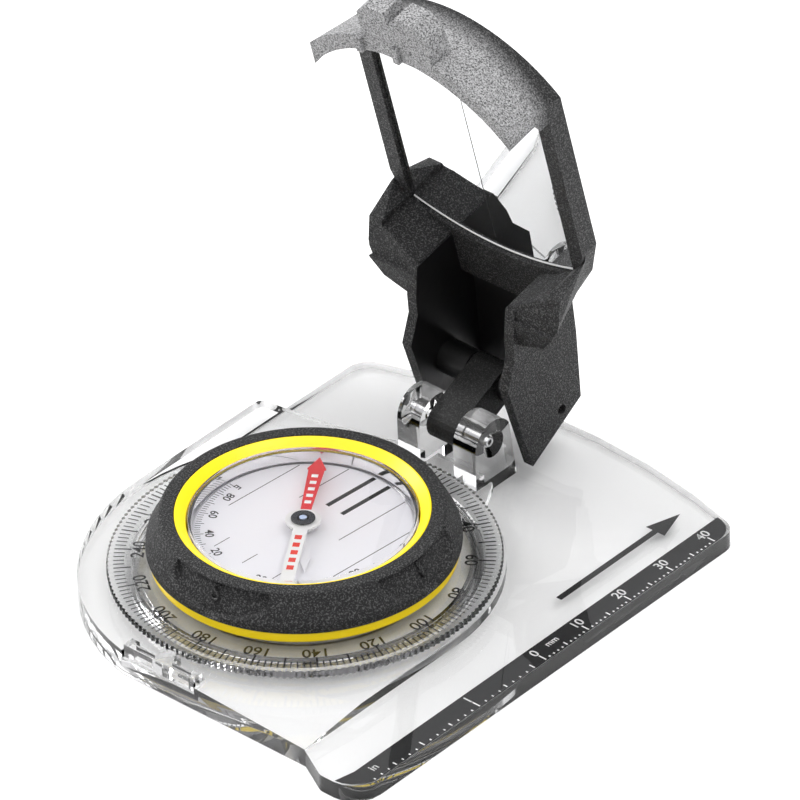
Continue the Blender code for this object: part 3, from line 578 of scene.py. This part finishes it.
def quarter_letters():
    """The four raised letters, each on the slope of its thumb facet and read from outside."""
    low, high = GRIP_LOW[2], GRIP_HIGH[2]
    slope = math.atan2(high - low - GRIP_FOOT, 24.5 - 21.6)
    for quarter, text in enumerate("NESW"):
        bearing = 90 * quarter + RING_TURN
        a = math.radians(bearing)
        outwards = np.array([math.sin(a), math.cos(a), 0.0])
        sideways = np.array([math.cos(a), -math.sin(a), 0.0])
        upwards = np.array([0, 0, 1.0]) * math.sin(slope) - outwards * math.cos(slope)
        normal = outwards * math.sin(slope) + np.array([0, 0, 1.0]) * math.cos(slope)
        middle = outwards * 22.62 + np.array([0, 0, low + 3.75])

        def lay(points, middle=middle, sideways=sideways, upwards=upwards, normal=normal):
            """Lays flat letters on the slope of the facet."""
            return middle - points[:, :1] * sideways + points[:, 1:2] * upwards + points[:, 2:3] * normal

        letters("quarter_" + text, [(text, 0, 0, 2.8, 0)], -0.35, "bezel",
                FINISH["rubber"], lay, 0.6)


def degree_scale():
    """Ticks every two degrees, longer every ten, and numerals every twenty with their tops outwards."""
    low = TICK_Z - SKIN - INK
    ticks = []
    for value in range(0, 360, 2):
        inner, width = (27.0, 0.3) if value % 10 == 0 else (28.0, 0.24)
        ticks.append(ray_bar(value + RING_TURN, inner, 29.7, width))
    spots, faces = slabs(ticks, low, TICK_Z - SKIN)
    surface("degree_ticks", spots, faces, "bezel", FINISH["black_ink"])
    items = []
    for value in range(0, 360, 20):
        bearing = value + RING_TURN
        x, y = at(bearing, 25.85)
        items.append((str(value), x, y, 2.05, bearing))
    letters("degree_numerals", items, low, "bezel", FINISH["black_ink"])


def clip_line(offset, start, end, radius, width):
    """A bar along the dial's lines at a sideways offset, kept inside a circle."""
    limit = math.sqrt(radius ** 2 - (abs(offset) + width / 2) ** 2)
    start, end = max(start, -limit), min(end, limit)
    a = math.radians(DIAL_TURN)
    along, across = np.array([math.sin(a), math.cos(a)]), np.array([math.cos(a), -math.sin(a)])
    x, y = across * offset + along * (start + end) / 2
    return bar(x, y, width, end - start, DIAL_TURN)


def capsule():
    """Lid and liquid as one clear block sized to the cup round it, the printed disc and its lines."""
    axis, lid_r, lid_top, lid_foot = 0.001, 17.85, LID_HIGH[2], LID_LOW[2]
    inside, floor = CUP_R - CUP_WALL - 0.05, DISC_LOW[2] + 0.1
    lid = [(axis, lid_top, 0.0), (lid_r, lid_top, 0.12), (lid_r, lid_foot, 0.1), (inside, lid_foot, 0.0),
           (inside, floor, 0.0), (axis, floor, 0.0)]
    spots, faces = lathe(soft_profile(lid), 192)
    block = surface("lid_and_liquid", spots, faces, "capsule", FINISH["liquid"])
    step = block.modifiers.new("close_axis", "WELD")
    step.merge_threshold = 5e-6
    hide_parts("capsule_lid")
    top = DISC_HIGH[2]
    out = DISC_HIGH[0]
    disc = [(out, top, 0.05), (out, top - 0.3, 0.05), (0.9, top - 0.3, 0.0), (0.9, top, 0.0)]
    turned_piece("dial_disc", disc, "capsule", FINISH["film"], "meridian_disc", 192)
    ink = top + 0.01
    clip = out - 0.15
    lines = [clip_line(-12.6, -4.0, 14, clip, 0.14), clip_line(-6.3, 5.0, 20, clip, 0.14),
             clip_line(6.3, 1.5, 20, clip, 0.14), clip_line(12.6, -8.5, 14, clip, 0.14),
             clip_line(-1.65, 6.5, 20, clip, 0.8), clip_line(1.65, 6.5, 20, clip, 0.8)]
    lines += [clip_line(offset, -12.8, -9.6, clip, 0.13) for offset in (-6.3, 0.0, 6.3)]
    zero = 180.0 + DIAL_TURN
    items = []
    for side in (-1, 1):
        for value in range(0, 91, 2):
            inner = out - (1.5 if value % 10 == 0 else 1.0)
            lines.append(ray_bar(zero + side * value, inner, out - 0.1, 0.12))
        for value in (20, 40, 60, 80):
            bearing = zero + side * value
            x, y = at(bearing, out - 2.35)
            items.append((str(value), x, y, 1.35, bearing + 180))
    for text, bearing in (("E", 276.0), ("W", 94.0)):
        x, y = at(bearing, out - 1.6)
        items.append((text, x, y, 1.2, bearing + 180))
    spots, faces = slabs(lines, ink, ink + INK)
    surface("dial_lines", spots, faces, "capsule", FINISH["black_ink"])
    letters("dial_numerals", items, ink, "capsule", FINISH["black_ink"])


def needle():
    """Plain dashes along the needle and its cap; the jewel stays the plain node."""
    ink = BLADE_TOP + 0.005
    white, red = [], []
    for i in range(5):
        x, y = at(NEEDLE_BEARING, 4.6 + 1.75 * i)
        white.append(bar(x, y, 1.05, 0.8, NEEDLE_BEARING))
        x, y = at(NEEDLE_BEARING + 180, 4.8 + 2.0 * i)
        red.append(bar(x, y, 1.1, 1.1, NEEDLE_BEARING))
    for name, outlines, finish in (("north_dashes", white, "white_ink"), ("south_dashes", red, "red_ink")):
        spots, faces = slabs(outlines, ink, ink + INK)
        surface(name, spots, faces, "needle", FINISH[finish])
    low, brim, high = CAP_LOW[2], CAP_HIGH[2] - 0.5, CAP_HIGH[2]
    cap = [(1.9, high, 0.2), (1.9, brim, 0.1), (1.35, brim, 0.0),
           (1.35, low, 0.05), (0.9, low, 0.05), (0.9, high, 0.08)]
    turned_piece("cap_shell", cap, "needle", FINISH["black_gloss"], "needle_cap", 96)


# ---------------------------------------------------------------- base plate and cover

def ruler():
    """Black band along the ruler edge with millimetres towards the front and inches towards the foot."""
    edge, inner, column = PLATE_EDGE - 0.15, 40.5, 41.9
    low, high = PLATE_Z - SKIN - INK, PLATE_Z - SKIN
    front = [(inner, 51.0), (41.6, 50.75), (42.9, 50.1), (43.8, 49.2), (44.3, 48.2), (edge, 47.0)]
    rear = [(edge, -33.4), (44.3, -34.4), (43.5, -35.6), (42.3, -36.7), (40.9, -37.4), (39.7, -37.6),
            (inner, -34.0)]
    spots, faces = slabs([(front + rear)[::-1]], low, high)
    surface("ruler_band", spots, faces, "base", FINISH["black_ink"])
    marks, items = [], []
    outer = edge - 0.25
    zero = 5.8
    for value in range(0, 41):
        length = 1.5 if value % 10 == 0 else 0.9 if value % 5 == 0 else 0.35
        width = 0.26 if value % 5 == 0 else 0.3
        marks.append(bar(outer - length / 2, zero + value, length, width))
        if value % 10 == 0:
            items.append((str(value), column, zero + value, 1.65, -90))
    items.append(("mm", column, zero + 4.0, 1.2, -90))
    zero, inch = -35.0, 25.4
    for value in range(1, 25):
        length = 1.5 if value % 16 == 0 else 1.1 if value % 8 == 0 else 0.8 if value % 4 == 0 else 0.4
        marks.append(bar(outer - length / 2, zero + value * inch / 16, length, 0.26))
    items.append(("1", column, zero + inch, 1.65, -90))
    items.append(("in", 42.1, zero + 3.6, 1.4, -90))
    below = low - 0.006
    spots, faces = slabs(marks, below, high + 0.012)
    surface("ruler_marks", spots, faces, "base", FINISH["white_ink"])
    letters("ruler_numerals", items, below, "base", FINISH["white_ink"],
            depth=INK + 0.018)


def travel_arrow():
    """A plain arrow on the front part, along the direction of travel."""
    x, low, high = 35.4, 19.0, 48.0
    shaft, head, neck = 0.55, 1.9, high - 6
    outline = [(x - shaft, low), (x + shaft, low), (x + shaft, neck), (x + head, neck), (x, high),
               (x - head, neck), (x - shaft, neck)]
    spots, faces = slabs([outline], PLATE_Z - SKIN - INK, PLATE_Z - SKIN)
    surface("travel_arrow", spots, faces, "base", FINISH["black_ink"])


def cover():
    """Cover with softened edges and a darker inside painted as shade, and the painted edge highlight and
    sighting line of its mirror.

    The mirror's lower edge is an arc through its two lower corners that hangs the dip below them, and a
    white band between that arc and one 0.35 mm inside it is painted along it as the highlight of the edge's
    bevel.
    """
    case = edged_copy("cover_case", "cover_shell", "cover", FINISH["cover"], 0.28)
    # painted shade: faces between the cheeks and below the brow that face out of the mirror get a darker
    # black without specks, for the shade in the cover's recess
    case.data.materials.append(FINISH["inner_black_painted_shade"])
    inside, brow = 9.2, 38.0
    for face in case.data.polygons:
        middle, out = face.center / MM, face.normal.dot(Vector(COVER_OUT))
        if abs(middle.x) < inside and middle.z < brow and out > -0.5:
            face.material_index = 1
    # painted highlight: a thin white band along the mirror's arched lower edge stands in for the light on
    # its bevel
    dip_r = (MIRROR_HALF_W ** 2 + MIRROR_DIP ** 2) / (2 * MIRROR_DIP)
    swing = math.asin(MIRROR_HALF_W / dip_r)
    turn = np.linspace(-swing, swing, 41)
    rows = [np.column_stack([r * np.sin(turn), MIRROR_LOW - MIRROR_DIP + dip_r - r * np.cos(turn)])
            for r in (dip_r, dip_r - 0.35)]
    spots, faces = slabs([np.concatenate([rows[0], rows[1][::-1]])], MIRROR_FACE, MIRROR_FACE + 0.03)
    surface("mirror_edge_highlight", on_cover(spots), faces, "cover", FINISH["white_ink"])
    low, high = 24.0, 66.0
    spots, faces = slabs([bar(0, (low + high) / 2, 0.16, high - low)], MIRROR_FACE, MIRROR_FACE + 0.015)
    surface("sighting_line", on_cover(spots), faces, "cover", FINISH["black_ink"])


def hinge():
    """Fine tube in place of the plain hinge pin: a rounded wall profile carried round the pin's axis."""
    half, outer, bore = PIN_HIGH[0], 0.85, 0.42
    middle = (PIN_LOW + PIN_HIGH) / 2
    tube = soft_profile([(outer, half, 0.12), (outer, -half, 0.12), (bore, -half, 0.08), (bore, half, 0.08)])
    spots, faces = lathe(tube, 48)
    spots = np.column_stack([spots[:, 2], spots[:, 0], spots[:, 1]]) + np.array([0, middle[1], middle[2]])
    made = surface("pin_tube", spots, faces, "base", FINISH["steel"])
    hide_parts("hinge_pin")


# ---------------------------------------------------------------- stage

def stage():
    """Pale floor, graded sky and soft lights."""
    floor = bpy.data.objects.new("floor", bpy.data.meshes.new("floor"))
    half, low = 3000.0 * MM, -1e-5
    square = [(-half, -half, low), (half, -half, low), (half, half, low), (-half, half, low)]
    floor.data.from_pydata(square, [], [(0, 1, 2, 3)])
    pale, _, shader = nodes_of("pale_floor")
    shader.inputs["Base Color"].default_value = (0.92, 0.92, 0.92, 1)
    shader.inputs["Roughness"].default_value = 0.9
    floor.data.materials.append(pale)
    bpy.context.scene.collection.objects.link(floor)
    world = bpy.data.worlds.new("studio")
    bpy.context.scene.world = world
    bpy.context.scene.view_settings.view_transform = "Standard"
    world.use_nodes = True
    sky = world.node_tree
    place, split = sky.nodes.new("ShaderNodeTexCoord"), sky.nodes.new("ShaderNodeSeparateXYZ")
    shade = sky.nodes.new("ShaderNodeMix")
    shade.data_type = "RGBA"
    shade.inputs["A"].default_value = (0.72, 0.72, 0.73, 1)
    shade.inputs["B"].default_value = (2.0, 2.0, 2.0, 1)
    sky.links.new(place.outputs["Generated"], split.inputs["Vector"])
    sky.links.new(ramp(sky, split.outputs["Z"], 0.62, 0.86), shade.inputs["Factor"])
    sky.links.new(shade.outputs["Result"], sky.nodes["Background"].inputs["Color"])
    target, width = Vector((0, 0.01, 0.03)), 0.3
    for name, spot, watts in (("key", (-0.8, -0.15, 0.55), 4.0), ("top", (0.25, 0.15, 0.95), 3.0)):
        light = bpy.data.lights.new(name, "AREA")
        light.size = width
        light.energy = watts
        lamp = bpy.data.objects.new(name, light)
        lamp.location = spot
        aim = target - Vector(spot)
        lamp.rotation_euler = aim.to_track_quat("-Z", "Y").to_euler()
        bpy.context.scene.collection.objects.link(lamp)


def camera():
    """A long lens, 1.5 m off, 35 degrees up and 43 degrees round, rolled a little."""
    rise, turn, roll = math.radians(34.587), math.radians(42.849), math.radians(-2.302)
    distance, scale, frame_width, sensor = 1500.0, 6.462, 800.0, 36.0
    right = Vector((math.cos(turn), math.sin(turn), 0))
    ahead = Vector((-math.sin(turn) * math.cos(rise), math.cos(turn) * math.cos(rise), -math.sin(rise)))
    up = right.cross(ahead)
    middle = Vector((0, 0, TICK_Z)) + right * 15.68 + up * 23.324
    eye = middle - ahead * distance
    rolled_right = right * math.cos(roll) + up * math.sin(roll)
    rolled_up = up * math.cos(roll) - right * math.sin(roll)
    lens = bpy.data.cameras.new("camera")
    lens.sensor_width = sensor
    lens.lens = scale * distance / frame_width * sensor
    lens.clip_end = 20.0
    view = bpy.data.objects.new("camera", lens)
    axes = Matrix((rolled_right, rolled_up, -ahead)).transposed()
    view.matrix_world = Matrix.Translation(eye * MM) @ axes.to_4x4()
    bpy.context.scene.collection.objects.link(view)
    bpy.context.scene.camera = view


paint_nodes()
edged_copy("clear_plate", "base_plate", "base", FINISH["acrylic"], 0.3)
bezel()
capsule()
needle()
ruler()
travel_arrow()
cover()
hinge()
stage()
camera()
